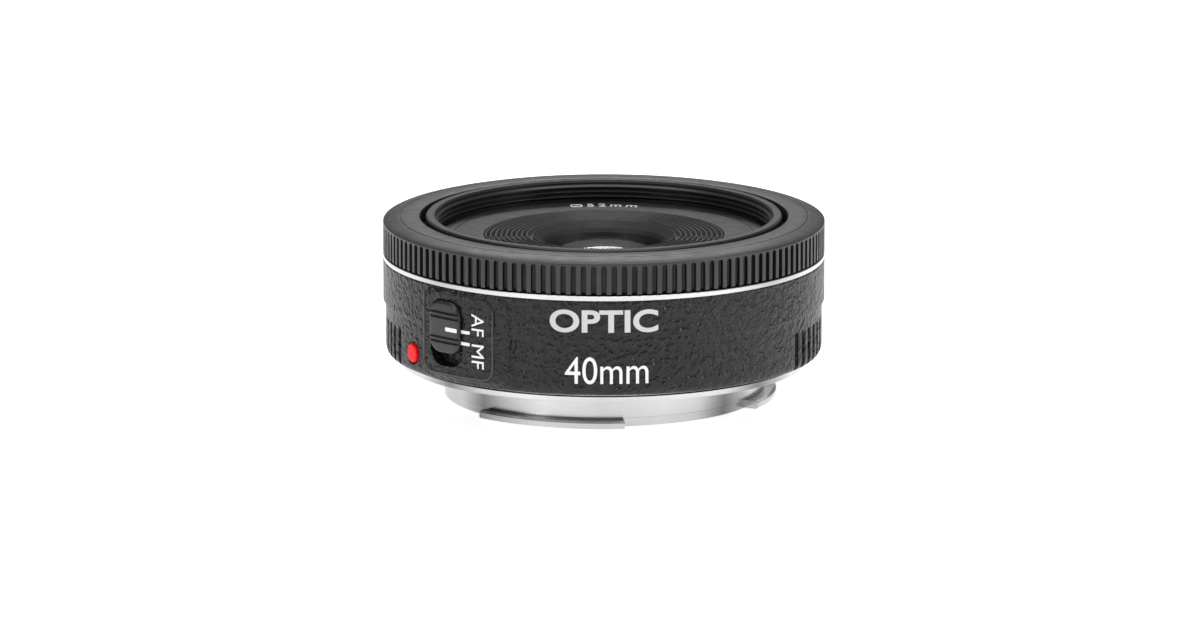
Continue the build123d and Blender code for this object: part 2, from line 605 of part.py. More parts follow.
# ---- front barrel --------------------------------------------------------
thread = []
for i in range(3):
    z = 22.15 - i * 0.75
    thread += [(25.98, z), (25.6, z - 0.3), (25.6, z - 0.42), (25.98, z - 0.72)]
with BuildPart() as front_barrel:
    add(turned([
        (TUBE_OUT_R, 9.0), (TUBE_OUT_R, LENGTH - 0.25), (TUBE_OUT_R - 0.25, LENGTH), (26.2, LENGTH),
        (25.98, LENGTH - 0.3), *thread, (TUBE_IN_R, 19.85), (TUBE_IN_R, CARRIER_Z - 0.02),
        (LEDGE_R, CARRIER_Z - 0.02), (LEDGE_R, CARRIER_Z - 0.5), (TUBE_IN_R, CARRIER_Z - 0.5),
        (TUBE_IN_R, 9.0),
    ]))
    for theta in FOLLOWER_THETAS:
        add(radial_rod(0.5, theta, PIN_Z, 25, 29), mode=Mode.SUBTRACT)
front_barrel.part.label = "front_barrel"
export_step(front_barrel.part, "parts/front_barrel.step")

# disc across the barrel that carries the lens cell
with BuildPart() as cell_carrier:
    add(turned([
        (10.95, CARRIER_Z), (TUBE_IN_R - 0.03, CARRIER_Z), (TUBE_IN_R - 0.03, CARRIER_Z + 1.0),
        (10.95, CARRIER_Z + 1.0),
    ]))
cell_carrier.part.label = "cell_carrier"
export_step(cell_carrier.part, "parts/cell_carrier.step")

with BuildPart() as cam_followers:
    for theta in FOLLOWER_THETAS:
        add(radial_rod(PIN_R, theta, PIN_Z, TUBE_OUT_R + 0.01, 30.05))
        add(radial_rod(0.52, theta, PIN_Z, 27, 31), mode=Mode.SUBTRACT)
        add(radial_rod(0.9, theta, PIN_Z, 29.3, 31), mode=Mode.SUBTRACT)
cam_followers.part.label = "cam_followers"
export_step(cam_followers.part, "parts/cam_followers.step")

with BuildPart() as follower_screws:
    for theta in FOLLOWER_THETAS:
        add(radial_rod(0.48, theta, PIN_Z, 26.3, 29.5))
        add(radial_rod(0.86, theta, PIN_Z, 29.32, 29.9))
        with BuildSketch(facing_plane(29.65, theta, PIN_Z)):
            Rectangle(1.1, 0.24)
            Rectangle(0.24, 1.1)
        extrude(amount=1, mode=Mode.SUBTRACT)
follower_screws.part.label = "follower_screws"
export_step(follower_screws.part, "parts/follower_screws.step")

with BuildPart() as name_ring:
    add(turned([
        (25.3, 19.6), (25.5, 19.4), (25.5, 17.65), (24.7, 17.65), (24.7, 18.8), (19.3, 18.8),
        (19.3, 17.65), (18.55, 17.65), (18.55, 19.55), (18.65, 19.6), (23.15, 19.6), (23.2, 19.52),
        (23.3, 19.52), (23.35, 19.6),
    ]))
name_ring.part.label = "name_ring"
export_step(name_ring.part, "parts/name_ring.step")

ridges = []
for i in range(9):
    r = 18.45 - i * 0.8
    ridges += [(r, 19.1), (r - 0.1, 19.6), (r - 0.25, 19.6), (r - 0.7, 19.1)]
with BuildPart() as ribbed_baffle:
    add(turned([(10.95, 17.65), (18.5, 17.65), (18.5, 19.1), *ridges, (11.1, 19.1), (11.05, 19.55),
                (10.95, 19.55)]))
ribbed_baffle.part.label = "ribbed_baffle"
export_step(ribbed_baffle.part, "parts/ribbed_baffle.step")

with BuildPart() as front_retaining_ring:
    add(turned([
        (8.97, 17.0), (9.12, 17.0), (9.12, 17.34), (9.6, 17.34), (9.6, 17.98), (10.9, 17.98),
        (10.9, 19.55), (9.6, 18.6), (9.15, 18.0),
    ]))
front_retaining_ring.part.label = "front_retaining_ring"
export_step(front_retaining_ring.part, "parts/front_retaining_ring.step")

with BuildPart() as front_cell:
    add(turned([
        (6.9, 8.0), (10.8, 8.0), (10.8, 15.8), (13.2, 15.8), (13.2, 16.6), (10.85, 16.6), (10.85, 17.95),
        (9.65, 17.95), (9.65, 17.3), (9.15, 17.3), (9.15, 13.8), (8.25, 13.8), (8.25, 8.18), (6.9, 8.18),
    ]))
front_cell.part.label = "front_cell"
export_step(front_cell.part, "parts/front_cell.step")

with BuildPart() as lens_spacer:
    add(turned([(7.9, 13.96), (9.1, 13.82), (9.1, 14.88), (7.9, 15.1)]))
lens_spacer.part.label = "lens_spacer"
export_step(lens_spacer.part, "parts/lens_spacer.step")

# ---- glass ---------------------------------------------------------------
for name, z_front, r_front, z_rear, r_rear, rim, clear_front, clear_rear in LENSES:
    front_edge = z_front - sag(r_front, clear_front)
    rear_edge = z_rear - sag(r_rear, clear_rear)
    with BuildPart() as lens:
        with BuildSketch(Plane.XZ):
            with BuildLine():
                Line((0, z_rear), (0, z_front))
                ThreePointArc((0, z_front), (clear_front / 2, z_front - sag(r_front, clear_front / 2)),
                              (clear_front, front_edge))
                if clear_front < rim:
                    Line((clear_front, front_edge), (rim, front_edge))
                Line((rim, front_edge), (rim, rear_edge))
                if clear_rear < rim:
                    Line((rim, rear_edge), (clear_rear, rear_edge))
                ThreePointArc((clear_rear, rear_edge), (clear_rear / 2, z_rear - sag(r_rear, clear_rear / 2)),
                              (0, z_rear))
            make_face()
        revolve(axis=Axis.Z)
    lens.part.label = name
    export_step(lens.part, "parts/" + name + ".step")

# ---- rear cell -----------------------------------------------------------
with BuildPart() as rear_cell:
    add(turned([
        (7.05, 4.45), (9.2, 4.45), (9.2, -4.5), (9.0, -4.7), (8.05, -4.7), (8.05, -1.8), (6.6, -1.8),
        (6.6, -0.06), (7.05, -0.06),
    ]))
    add(turned([(7.2, 4.0), (10.2, 4.0), (10.2, 4.98), (7.2, 4.98)]))
rear_cell.part.label = "rear_cell"
export_step(rear_cell.part, "parts/rear_cell.step")

with BuildPart() as rear_retaining_ring:
    add(turned([(7.2, -3.44), (8.02, -3.2), (8.02, -4.65), (7.6, -4.65)]))
rear_retaining_ring.part.label = "rear_retaining_ring"
export_step(rear_retaining_ring.part, "parts/rear_retaining_ring.step")

# ---- iris ----------------------------------------------------------------
with BuildPart() as aperture_base:
    add(turned([
        (6.2, 5.0), (6.35, 4.52), (7.0, 4.52), (7.0, 5.0), (13.9, 5.0), (13.9, 5.5), (10.2, 5.5),
        (10.2, 6.34), (9.6, 6.34), (9.6, 5.5), (6.9, 5.5), (6.9, 6.34), (6.2, 6.34),
    ]))
    # ears carrying the small motor
    with BuildSketch(Plane.XY.offset(5.0)):
        with Locations(Location(IRIS_MOTOR_AT)):
            Circle(2.9)
    extrude(amount=0.5)
    add(rod(0.45, IRIS_MOTOR_AT[0], IRIS_MOTOR_AT[1], 4.8, 5.6), mode=Mode.SUBTRACT)
aperture_base.part.label = "aperture_base"
export_step(aperture_base.part, "parts/aperture_base.step")

with BuildPart() as aperture_cover:
    add(turned([(6.9, 7.4), (13.9, 7.4), (13.9, 7.98), (6.9, 7.98)]))
    with BuildSketch(Plane.XY.offset(7.4)):
        with Locations(Location(IRIS_MOTOR_AT)):
            Circle(2.9)
            Circle(2.1, mode=Mode.SUBTRACT)
    extrude(amount=0.58)
    add(rod(2.1, IRIS_MOTOR_AT[0], IRIS_MOTOR_AT[1], 7.0, 8.4), mode=Mode.SUBTRACT)
    for i in range(BLADES):
        a = 2 * math.pi * i / BLADES
        add(rod(0.34, PIVOT_R * math.cos(a), PIVOT_R * math.sin(a), 7.3, 8.1), mode=Mode.SUBTRACT)
aperture_cover.part.label = "aperture_cover"
export_step(aperture_cover.part, "parts/aperture_cover.step")

with BuildPart() as aperture_motor:
    add(rod(2.6, IRIS_MOTOR_AT[0], IRIS_MOTOR_AT[1], 8.0, 13.2))
    fillet(aperture_motor.edges().sort_by(Axis.Z)[-1], 0.3)
aperture_motor.part.label = "aperture_motor"
export_step(aperture_motor.part, "parts/aperture_motor.step")

IRIS_TO_RING = direction(IRIS_MOTOR_AT, (0, 0))
with BuildPart() as aperture_pinion:
    add(Pos(*IRIS_MOTOR_AT) * gear_part(IRIS_PINION_TEETH, IRIS_MODULE, 5.6, 6.3, IRIS_TO_RING, 0.35))
    add(rod(0.4, IRIS_MOTOR_AT[0], IRIS_MOTOR_AT[1], 5.05, 7.9))
aperture_pinion.part.label = "aperture_pinion"
export_step(aperture_pinion.part, "parts/aperture_pinion.step")


def drive_pin(turn):
    """Place of a blade's drive pin, for the blade at angle 0, after a blade turn."""
    a = math.radians(turn)
    return (PIVOT_R + DRIVE_D * math.sin(a), -DRIVE_D * math.cos(a))


with BuildPart() as aperture_ring:
    add(gear_part(IRIS_TEETH, IRIS_MODULE, 5.6, 6.3, IRIS_TO_RING + 180 + 180 / IRIS_TEETH, 10.28))
    # each cam slot follows its drive pin, seen from the turning ring
    for i in range(BLADES):
        steps = [drive_pin(BLADE_TURN * k / 8) for k in range(-1, 10)]
        path = []
        for k, (x, y) in zip(range(-1, 10), steps):
            a = math.radians(IRIS_TURN * k / 8 + 360 * i / BLADES)
            path.append((x * math.cos(a) - y * math.sin(a), x * math.sin(a) + y * math.cos(a)))
        with BuildSketch(Plane.XY.offset(5.0)):
            with BuildLine() as slot_line:
                Spline(*path)
            trace(slot_line.line, line_width=0.72)
        extrude(amount=2, mode=Mode.SUBTRACT)
aperture_ring.part.label = "aperture_ring"
export_step(aperture_ring.part, "parts/aperture_ring.step")


def blade_leaf(level):
    """Blade for angle 0: a curved leaf with its pivot pin and drive pin."""
    with BuildPart() as leaf:
        with BuildSketch(Plane.XY.offset(level)):
            with BuildLine():
                inner = CenterArc((0, 0), 6.45, 0, 86)
                outer = CenterArc((0, 0), 10.45, 0, 86)
                Line(inner @ 0, outer @ 0)
                Line(inner @ 1, outer @ 1)
            make_face()
            with Locations((8.45, 0)):
                Circle(2.0)
            with Locations((PIVOT_R, 0)):
                Circle(0.75)
            with Locations(drive_pin(0)):
                Circle(0.6)
            with Locations((PIVOT_R - 0.3, -DRIVE_D / 2)):
                Rectangle(1.3, DRIVE_D)
        extrude(amount=BLADE_T)
        add(rod(0.3, PIVOT_R, 0, level, 7.9))
        add(rod(0.3, *drive_pin(0), 5.68, level + BLADE_T / 2))
    return leaf.part


for i in range(BLADES):
    name = "blade_" + str(i + 1)
    with BuildPart() as blade:
        add(Rot(0, 0, 360 * i / BLADES) * blade_leaf(BLADE_Z + i * BLADE_STEP))
    blade.part.label = name
    export_step(blade.part, "parts/" + name + ".step")

# ---- AF/MF switch --------------------------------------------------------
with BuildPart() as switch_knob:
    add(shell_patch(31.6, 35.1, SWITCH_THETA, KNOB_LOW_Z, KNOB_TOP_Z, KNOB_WIDTH, 2.2))
    add(shell_patch(31.42, 31.8, SWITCH_THETA, KNOB_LOW_Z - 1.1, KNOB_TOP_Z + 0.3, 8.4, 1.0))
    for z in KNOB_GROOVES:
        with BuildSketch(facing_plane(34.75, SWITCH_THETA, z)):
            SlotOverall(5.2, 0.32)
        extrude(amount=2, mode=Mode.SUBTRACT)
switch_knob.part.label = "switch_knob"
export_step(switch_knob.part, "parts/switch_knob.step")

with BuildPart() as switch_brush:
    with BuildSketch(facing_plane(30.9, SWITCH_THETA, 12.4)):
        Rectangle(3.0, 2.6)
        with Locations((-0.75, 0), (0.75, 0)):
            SlotOverall(2.0, 0.5, rotation=90, mode=Mode.SUBTRACT)
    extrude(amount=0.3)
    with BuildSketch(facing_plane(31.1, SWITCH_THETA, 13.35)):
        Rectangle(2.6, 0.6)
    extrude(amount=0.3)
switch_brush.part.label = "switch_brush"
export_step(switch_brush.part, "parts/switch_brush.step")
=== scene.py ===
import math

import bpy
import bmesh
import numpy as np
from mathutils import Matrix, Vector


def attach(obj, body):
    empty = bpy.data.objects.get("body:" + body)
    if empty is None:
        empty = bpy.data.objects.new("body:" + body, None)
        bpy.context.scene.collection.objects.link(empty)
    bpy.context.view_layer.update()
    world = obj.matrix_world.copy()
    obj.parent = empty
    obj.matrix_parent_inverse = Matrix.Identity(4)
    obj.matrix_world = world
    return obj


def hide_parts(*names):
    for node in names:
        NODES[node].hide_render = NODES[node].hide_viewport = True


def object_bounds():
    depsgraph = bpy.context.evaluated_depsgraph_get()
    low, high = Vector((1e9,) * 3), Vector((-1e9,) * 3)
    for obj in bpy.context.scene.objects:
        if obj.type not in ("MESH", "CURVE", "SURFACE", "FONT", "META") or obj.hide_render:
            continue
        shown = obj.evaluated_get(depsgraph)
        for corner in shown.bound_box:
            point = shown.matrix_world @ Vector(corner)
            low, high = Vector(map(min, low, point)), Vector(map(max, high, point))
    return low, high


# Looks of a slim prime lens standing on its bayonet. Lengths below are in millimetres
# and turned into metres by MM. Angles called theta run about +Z from the -Y side,
# positive towards +X.

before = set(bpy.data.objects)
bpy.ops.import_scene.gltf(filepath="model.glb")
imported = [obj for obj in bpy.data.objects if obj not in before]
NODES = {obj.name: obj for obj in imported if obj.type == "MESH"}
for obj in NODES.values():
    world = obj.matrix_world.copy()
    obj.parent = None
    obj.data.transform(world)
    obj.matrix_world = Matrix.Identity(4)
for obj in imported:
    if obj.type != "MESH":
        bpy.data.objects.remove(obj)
CAD_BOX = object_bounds()
MM = 0.001

# ---- driving sizes, as in the CAD model ----------------------------------
BODY_R = 34.1
SKIRT_R = 33.7
PANEL_R = 34.45
PANEL_THETA = -41.1
PANEL_WIDTH = 14.3
PANEL_Z = (2.75, 15.45)
BULGE_R = 34.35
BULGE_THETA = -39.1
RIBS = 138
FLUTE_PITCH = 4.0
FLUTE_R = 0.6
FLUTE_TOP = 6.9
FLUTE_ARCS = [(61.4, 117.4), (-116.6, -68.6)]
SWITCH_THETA = -44.35
KNOB_Z = (6.15, 14.3)
KNOB_WIDTH = 6.3
KNOB_GROOVES = (12.57, 11.8, 8.73, 8.0)
SLOT_Z = (4.2, 14.45)
SLOT_WIDTH = 6.6
MOUNT_BORE_R = 23.3
DOT_THETA = -60.2
DOT_Z = 4.5


# ---- shader helpers ------------------------------------------------------
class Shader:
    """A node material with one Principled shader and short calls to build on it."""

    def __init__(self, name, color, rough, metallic=0.0, **sockets):
        self.material = bpy.data.materials.new(name)
        self.material.use_nodes = True
        self.tree = self.material.node_tree
        self.bsdf = self.tree.nodes["Principled BSDF"]
        self.bsdf.inputs["Base Color"].default_value = (*color, 1)
        self.bsdf.inputs["Roughness"].default_value = rough
        self.bsdf.inputs["Metallic"].default_value = metallic
        for socket, value in sockets.items():
            self.bsdf.inputs[socket.replace("_", " ")].default_value = value
        self.place = self.node("ShaderNodeTexCoord").outputs["Object"]
        self.normal = None

    def node(self, kind, **values):
        made = self.tree.nodes.new(kind)
        for key, value in values.items():
            if key in made.inputs:
                made.inputs[key].default_value = value
            else:
                setattr(made, key, value)
        return made

    def link(self, out, into):
        self.tree.links.new(out, into)

    def stretched(self, scale):
        mapping = self.node("ShaderNodeMapping")
        mapping.inputs["Scale"].default_value = scale
        self.link(self.place, mapping.inputs["Vector"])
        return mapping.outputs["Vector"]

    def noise(self, size_mm, detail=3.0, rough=0.55, stretch=None):
        made = self.node("ShaderNodeTexNoise")
        made.inputs["Scale"].default_value = 1.0 / (size_mm * MM)
        made.inputs["Detail"].default_value = detail
        made.inputs["Roughness"].default_value = rough
        self.link(self.stretched(stretch) if stretch else self.place, made.inputs["Vector"])
        return made.outputs["Fac"]

    def cells(self, size_mm, feature="F1", smooth=None):
        made = self.node("ShaderNodeTexVoronoi")
        made.feature = "SMOOTH_F1" if smooth else feature
        made.inputs["Scale"].default_value = 1.0 / (size_mm * MM)
        if smooth:
            made.inputs["Smoothness"].default_value = smooth
        self.link(self.place, made.inputs["Vector"])
        return made.outputs["Distance"]

    def ramp(self, value, *stops):
        made = self.node("ShaderNodeValToRGB")
        while len(made.color_ramp.elements) < len(stops):
            made.color_ramp.elements.new(0.5)
        for element, (at, color) in zip(made.color_ramp.elements, stops):
            element.position = at
            element.color = (*color, 1) if len(color) == 3 else color
        self.link(value, made.inputs["Fac"])
        return made.outputs["Color"]

    def spread(self, value, low, high, out_low, out_high):
        made = self.node("ShaderNodeMapRange")
        for key, number in (("From Min", low), ("From Max", high), ("To Min", out_low), ("To Max", out_high)):
            made.inputs[key].default_value = number
        self.link(value, made.inputs["Value"])
        return made.outputs["Result"]

    def math(self, operation, a, b):
        made = self.node("ShaderNodeMath")
        made.operation = operation
        for slot, value in zip(made.inputs, (a, b)):
            if isinstance(value, (int, float)):
                slot.default_value = value
            else:
                self.link(value, slot)
        return made.outputs["Value"]

    def color_from(self, output):
        self.link(output, self.bsdf.inputs["Base Color"])
        return self

    def rough_from(self, output):
        self.link(output, self.bsdf.inputs["Roughness"])
        return self

    def bump(self, height, depth_mm, strength=1.0):
        made = self.node("ShaderNodeBump")
        made.inputs["Strength"].default_value = strength
        made.inputs["Distance"].default_value = depth_mm * MM
        self.link(height, made.inputs["Height"])
        if self.normal is not None:
            self.link(self.normal, made.inputs["Normal"])
        self.normal = made.outputs["Normal"]
        self.link(self.normal, self.bsdf.inputs["Normal"])
        return self


# ---- materials -----------------------------------------------------------
def grained_plastic():
    """Black moulded plastic with the coarse leathery grain of the barrel."""
    s = Shader("grained_black", (0.008, 0.008, 0.0085), 0.34)
    s.bsdf.inputs["Specular IOR Level"].default_value = 0.36
    wrinkles = s.spread(s.noise(1.15, 1.2, 0.5), 0.42, 0.58, 0.0, 1.0)
    flakes = s.spread(s.cells(0.85, smooth=0.1), 0.12, 0.42, 1.0, 0.0)
    s.bump(s.math("ADD", wrinkles, s.math("MULTIPLY", flakes, 0.9)), 0.12)
    s.rough_from(s.spread(flakes, 0.0, 1.0, 0.38, 0.25))
    s.color_from(s.ramp(wrinkles, (0.2, (0.004, 0.004, 0.0045)), (0.8, (0.008, 0.008, 0.0085))))
    return s.material


def satin_plastic(name, level, rough, grain=0.006):
    """Smooth black plastic with a fine moulded bloom."""
    s = Shader(name, (level, level, level * 1.03), rough)
    s.bump(s.noise(0.22, 3.0), grain)
    s.rough_from(s.spread(s.noise(2.5, 4.0), 0.3, 0.7, rough - 0.05, rough + 0.07))
    s.color_from(s.ramp(s.noise(6.0), (0.3, (level * 0.85,) * 3), (0.7, (level * 1.15,) * 3)))
    return s.material


def turned_metal(name, bright, dark, rough, depth=0.012):
    """Lathe-turned bright metal with fine lines round the axis.

    The bands of tone sit at fixed angles, given as parts of a turn. They stand in for
    uneven reflections, so they turn with the metal and don't answer to the lights.
    """
    s = Shader(name, (bright,) * 3, rough, metallic=1.0)
    lines = s.noise(0.12, 3.0, 0.7, stretch=(0.01, 0.01, 1.0))
    s.bump(lines, depth)
    s.rough_from(s.spread(lines, 0.3, 0.7, rough * 0.75, rough * 1.3))
    round_axis = s.node("ShaderNodeTexGradient")
    round_axis.gradient_type = "RADIAL"
    s.link(s.place, round_axis.inputs["Vector"])
    tones = [(0.00, 0.75), (0.08, 0.90), (0.117, 0.05), (0.150, 0.65), (0.19, 1.0), (0.25, 0.82), (0.31, 1.0),
             (0.350, 0.70), (0.383, 0.0), (0.412, 0.5), (0.43, 1.0), (0.52, 0.9), (0.57, 0.2), (0.63, 0.95),
             (0.72, 0.5), (0.79, 1.0), (0.86, 0.15), (0.93, 0.9), (1.00, 0.75)]
    stops = [(at, (dark + (bright - dark) * tone,) * 3) for at, tone in tones]
    s.color_from(s.ramp(round_axis.outputs["Fac"], *stops))
    return s.material


def plain_metal(name, color, rough):
    s = Shader(name, color, rough, metallic=1.0)
    grain = s.noise(0.35, 4.0)
    s.bump(grain, 0.004)
    s.rough_from(s.spread(grain, 0.3, 0.7, rough * 0.8, rough * 1.25))
    return s.material


def paint(name, color, rough, gloss=0.5):
    """Thick screen-printed ink."""
    s = Shader(name, color, rough)
    s.bsdf.inputs["Specular IOR Level"].default_value = gloss
    s.bump(s.noise(0.2, 3.0), 0.004)
    low = tuple(c * 0.93 for c in color)
    s.color_from(s.ramp(s.noise(0.6, 3.0), (0.3, low), (0.7, color)))
    return s.material


def coated_glass(name, level):
    """Optical glass: pale amber reflections, a little light lost in each surface.

    The index is far below real glass. It stands in for an anti-reflection coating.
    """
    s = Shader(name, (level, level, level * 0.93), 0.01, IOR=1.22)
    s.bsdf.inputs["Transmission Weight"].default_value = 1.0
    s.bsdf.inputs["Specular Tint"].default_value = (1.0, 0.90, 0.62, 1)
    s.color_from(s.ramp(s.noise(8.0), (0.3, (level * 0.96, level, level * 0.90)),
                        (0.7, (level, level * 0.98, level * 0.92))))
    return s.material


def circuit_laminate():
    s = Shader("circuit_laminate", (0.01, 0.10, 0.04), 0.35)
    tracks = s.ramp(s.cells(1.6, feature="DISTANCE_TO_EDGE"),
                    (0.03, (0.03, 0.2, 0.08)), (0.08, (0.008, 0.09, 0.035)))
    s.color_from(tracks)
    s.bump(s.noise(0.5), 0.01)
    return s.material


GRAINED = grained_plastic()
RING_BLACK = satin_plastic("ring_black", 0.026, 0.40)
# near-black for the hollows of ribs and flutes: painted shade, darker than the crests
GROOVE_SHADE = satin_plastic("groove_painted_shade", 0.005, 0.55, grain=0.003)
RIM_BLACK = satin_plastic("rim_black", 0.012, 0.34, grain=0.003)
INNER_BLACK = satin_plastic("inner_black", 0.010, 0.50)
FACE_BLACK = satin_plastic("face_black", 0.007, 0.42, grain=0.003)
BAFFLE_BLACK = satin_plastic("baffle_black", 0.016, 0.36, grain=0.001)
# lighter than the plate: painted highlight along the raised border line
BORDER_HIGHLIGHT = satin_plastic("border_painted_highlight", 0.045, 0.35, grain=0.002)
DEEP_BLACK = satin_plastic("deep_black", 0.004, 0.6)
KNOB_BLACK = satin_plastic("knob_black", 0.016, 0.36)
TRIM_SILVER = turned_metal("trim_silver", 0.64, 0.42, 0.28)
MOUNT_METAL = turned_metal("mount_metal", 0.58, 0.16, 0.2)
STEEL = plain_metal("steel", (0.60, 0.60, 0.61), 0.32)
CAM_METAL = plain_metal("cam_metal", (0.30, 0.30, 0.31), 0.38)
GOLD = plain_metal("gold", (0.95, 0.70, 0.32), 0.2)
BRASS = plain_metal("brass", (0.78, 0.60, 0.28), 0.28)
ACETAL = paint("acetal", (0.72, 0.71, 0.67), 0.4)
WHITE_INK = paint("white_ink", (0.86, 0.86, 0.86), 0.45)
SILVER_INK = paint("silver_ink", (0.60, 0.60, 0.61), 0.35)
RED_GLOSS = paint("red_gloss", (0.85, 0.001, 0.004), 0.12, gloss=0.12)
FRONT_GLASS = coated_glass("front_glass", 0.92)
INNER_GLASS = coated_glass("inner_glass", 0.86)
LAMINATE = circuit_laminate()

FINISHES = {
    "bayonet_mount": MOUNT_METAL, "trim_ring": TRIM_SILVER, "index_dot": RED_GLOSS,
    "outer_barrel": GRAINED, "switch_plate": GRAINED, "focus_ring": RING_BLACK,
    "front_barrel": RIM_BLACK, "name_ring": FACE_BLACK, "ribbed_baffle": BAFFLE_BLACK,
    "front_retaining_ring": DEEP_BLACK, "switch_knob": KNOB_BLACK,
    "rear_cover": INNER_BLACK, "contact_block": INNER_BLACK, "contact_pins": GOLD,
    "switch_brush": GOLD, "circuit_board": LAMINATE, "board_chips": DEEP_BLACK,
    "ring_sensor": DEEP_BLACK, "encoder_strip": DEEP_BLACK, "cam_ring": CAM_METAL,
    "motor_pinion": BRASS, "aperture_pinion": BRASS, "cam_followers": BRASS,
    "idler_gear": ACETAL, "reduction_gear": ACETAL, "aperture_ring": ACETAL,
}
STEEL_NODES = ("mount_screws", "contact_screws", "cam_retaining_ring", "snap_ring", "gear_base_plate",
               "gear_bridge", "gear_shafts", "gearbox_screws", "focus_motor", "follower_screws",
               "aperture_motor")


def finish_nodes():
    """Every CAD node gets its material."""
    for name, node in NODES.items():
        finish = FINISHES.get(name)
        if name in STEEL_NODES:
            finish = STEEL
        if name.startswith("lens_") and name != "lens_spacer":
            finish = FRONT_GLASS if name == "lens_1" else INNER_GLASS
        node.data.materials.clear()
        node.data.materials.append(finish or INNER_BLACK)


# ---- mesh helpers --------------------------------------------------------
def link_piece(name, mesh, material, body, *replaced):
    """Puts a mesh in the scene, riding on a body, and hides the CAD nodes it stands for."""
    piece = bpy.data.objects.new(name, mesh)
    bpy.context.scene.collection.objects.link(piece)
    mesh.materials.clear()
    mesh.materials.append(material)
    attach(piece, body)
    if replaced:
        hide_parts(*replaced)
    return piece


def grid_mesh(name, theta, radius, height, closed_rows=True):
    """Mesh through a grid of cylindrical coordinates (degrees, mm, mm), closed round the axis."""
    rows, columns = radius.shape
    angle = np.radians(theta)
    points = np.stack([radius * np.sin(angle), -radius * np.cos(angle), height], axis=-1) * MM
    index = np.arange(rows * columns).reshape(rows, columns)
    across = np.roll(index, -1, axis=1)
    if closed_rows:
        above, above_across = np.roll(index, -1, axis=0), np.roll(across, -1, axis=0)
    else:
        above, above_across = index[1:], across[1:]
        index, across = index[:-1], across[:-1]
    quads = np.stack([index, across, above_across, above], axis=-1).reshape(-1, 4)
    mesh = bpy.data.meshes.new(name)
    mesh.from_pydata(points.reshape(-1, 3).tolist(), [], quads.tolist())
    mesh.polygons.foreach_set("use_smooth", np.ones(len(mesh.polygons), bool))
    mesh.update()
    return mesh


def darken_hollows(mesh, material, inside_r, z_range):
    """Gives the faces of a skin that lie deeper than inside_r, between two heights, a second material.

    The darker finish stands in for the shade in a deep hollow.
    """
    mesh.materials.append(material)
    for face in mesh.polygons:
        x, y, z = face.center / MM
        face.material_index = int(z_range[0] < z < z_range[1] and math.hypot(x, y) < inside_r)


def sharpen(mesh, degrees=32.0):
    """Keeps hard edges hard on a smooth-shaded mesh."""
    work = bmesh.new()
    work.from_mesh(mesh)
    limit = math.radians(degrees)
    for edge in work.edges:
        if len(edge.link_faces) == 2 and edge.calc_face_angle(0.0) > limit:
            edge.smooth = False
    work.to_mesh(mesh)
    work.free()


def smooth_step(value, low, high):
    t = np.clip((value - low) / (high - low), 0.0, 1.0)
    return t * t * (3 - 2 * t)


def box_distance(s, z, half_width, half_height, corner):
    """Signed distance (negative inside) to a rounded rectangle centred at zero."""
    x = np.abs(s) - (half_width - corner)
    y = np.abs(z) - (half_height - corner)
    outside = np.hypot(np.maximum(x, 0), np.maximum(y, 0))
    return outside + np.minimum(np.maximum(x, y), 0) - corner


# ---- focus ring ----------------------------------------------------------
def focus_ring():
    """Ribbed ring: rounded ribs between grooves with rounded tops."""
    groove_top, groove_half, depth = 21.7, 0.42, 0.7
    pitch = 2 * math.pi * BODY_R / RIBS
    outline = [(31.9, 17.2), (33.7, 17.2)]
    ribbed = [(BODY_R - 0.16, 17.22), (BODY_R - 0.05, 17.27), (BODY_R, 17.38)]
    ribbed += [(BODY_R, 17.8 + 0.42 * i) for i in range(8)]
    ribbed += [(BODY_R, groove_top - groove_half + groove_half * math.sin(math.radians(a)))
               for a in (6, 20, 34, 46, 57, 67, 76, 84)]
    ribbed += [(BODY_R, 21.8), (BODY_R - 0.01, 21.9), (BODY_R - 0.07, 21.98), (BODY_R - 0.2, 22.04)]
    face = [(33.6, 22.18), (33.0, 22.33), (32.4, 22.47), (31.9, 22.59), (31.68, 22.63), (31.62, 22.61),
            (31.58, 22.52), (31.5, 22.52), (31.46, 22.63), (31.4, 22.65), (30.4, 22.65), (29.4, 22.65),
            (28.62, 22.65), (28.46, 22.6), (28.4, 22.45), (28.4, 20.6), (31.9, 20.6)]
    profile = outline + ribbed + face
    inside = (-1.0, -0.93, -0.8, -0.45, 0.0, 0.45, 0.8, 0.93, 1.0)
    between = (0.06, 0.16, 0.34, 0.5, 0.66, 0.84, 0.94)
    theta, radius, height = [], [], []
    for row, (r, z) in enumerate(profile):
        in_ribs = len(outline) <= row < len(outline) + len(ribbed)
        over = max(0.0, z - (groove_top - groove_half))
        half = math.sqrt(max(groove_half ** 2 - over ** 2, 0.0004)) if in_ribs else 0.02
        cut = depth if in_ribs and z < groove_top - 0.004 else 0.0
        step = [t * half for t in inside] + [half + (pitch - 2 * half) * v for v in between]
        sink = [cut * (1 - max(0.0, abs(t) - 0.7) * 0.4) if abs(t) < 0.99 else 0.03 * (cut > 0)
                for t in inside]
        sink += [0.0 if 0.1 < v < 0.9 else 0.012 * (cut > 0) for v in between]
        base = np.repeat(np.arange(RIBS) * pitch, len(step))
        theta.append(np.degrees((base + np.tile(step, RIBS)) / BODY_R))
        radius.append(r - np.tile(sink, RIBS))
        height.append(np.full(len(base), z))
    mesh = grid_mesh("focus_ring_skin", np.array(theta), np.array(radius), np.array(height))
    sharpen(mesh, 38)
    link_piece("focus_ring_skin", mesh, RING_BLACK, "manual_ring", "focus_ring")
    # the hollows between the ribs get the painted shade
    darken_hollows(mesh, GROOVE_SHADE, BODY_R - 0.25, (17.25, groove_top))


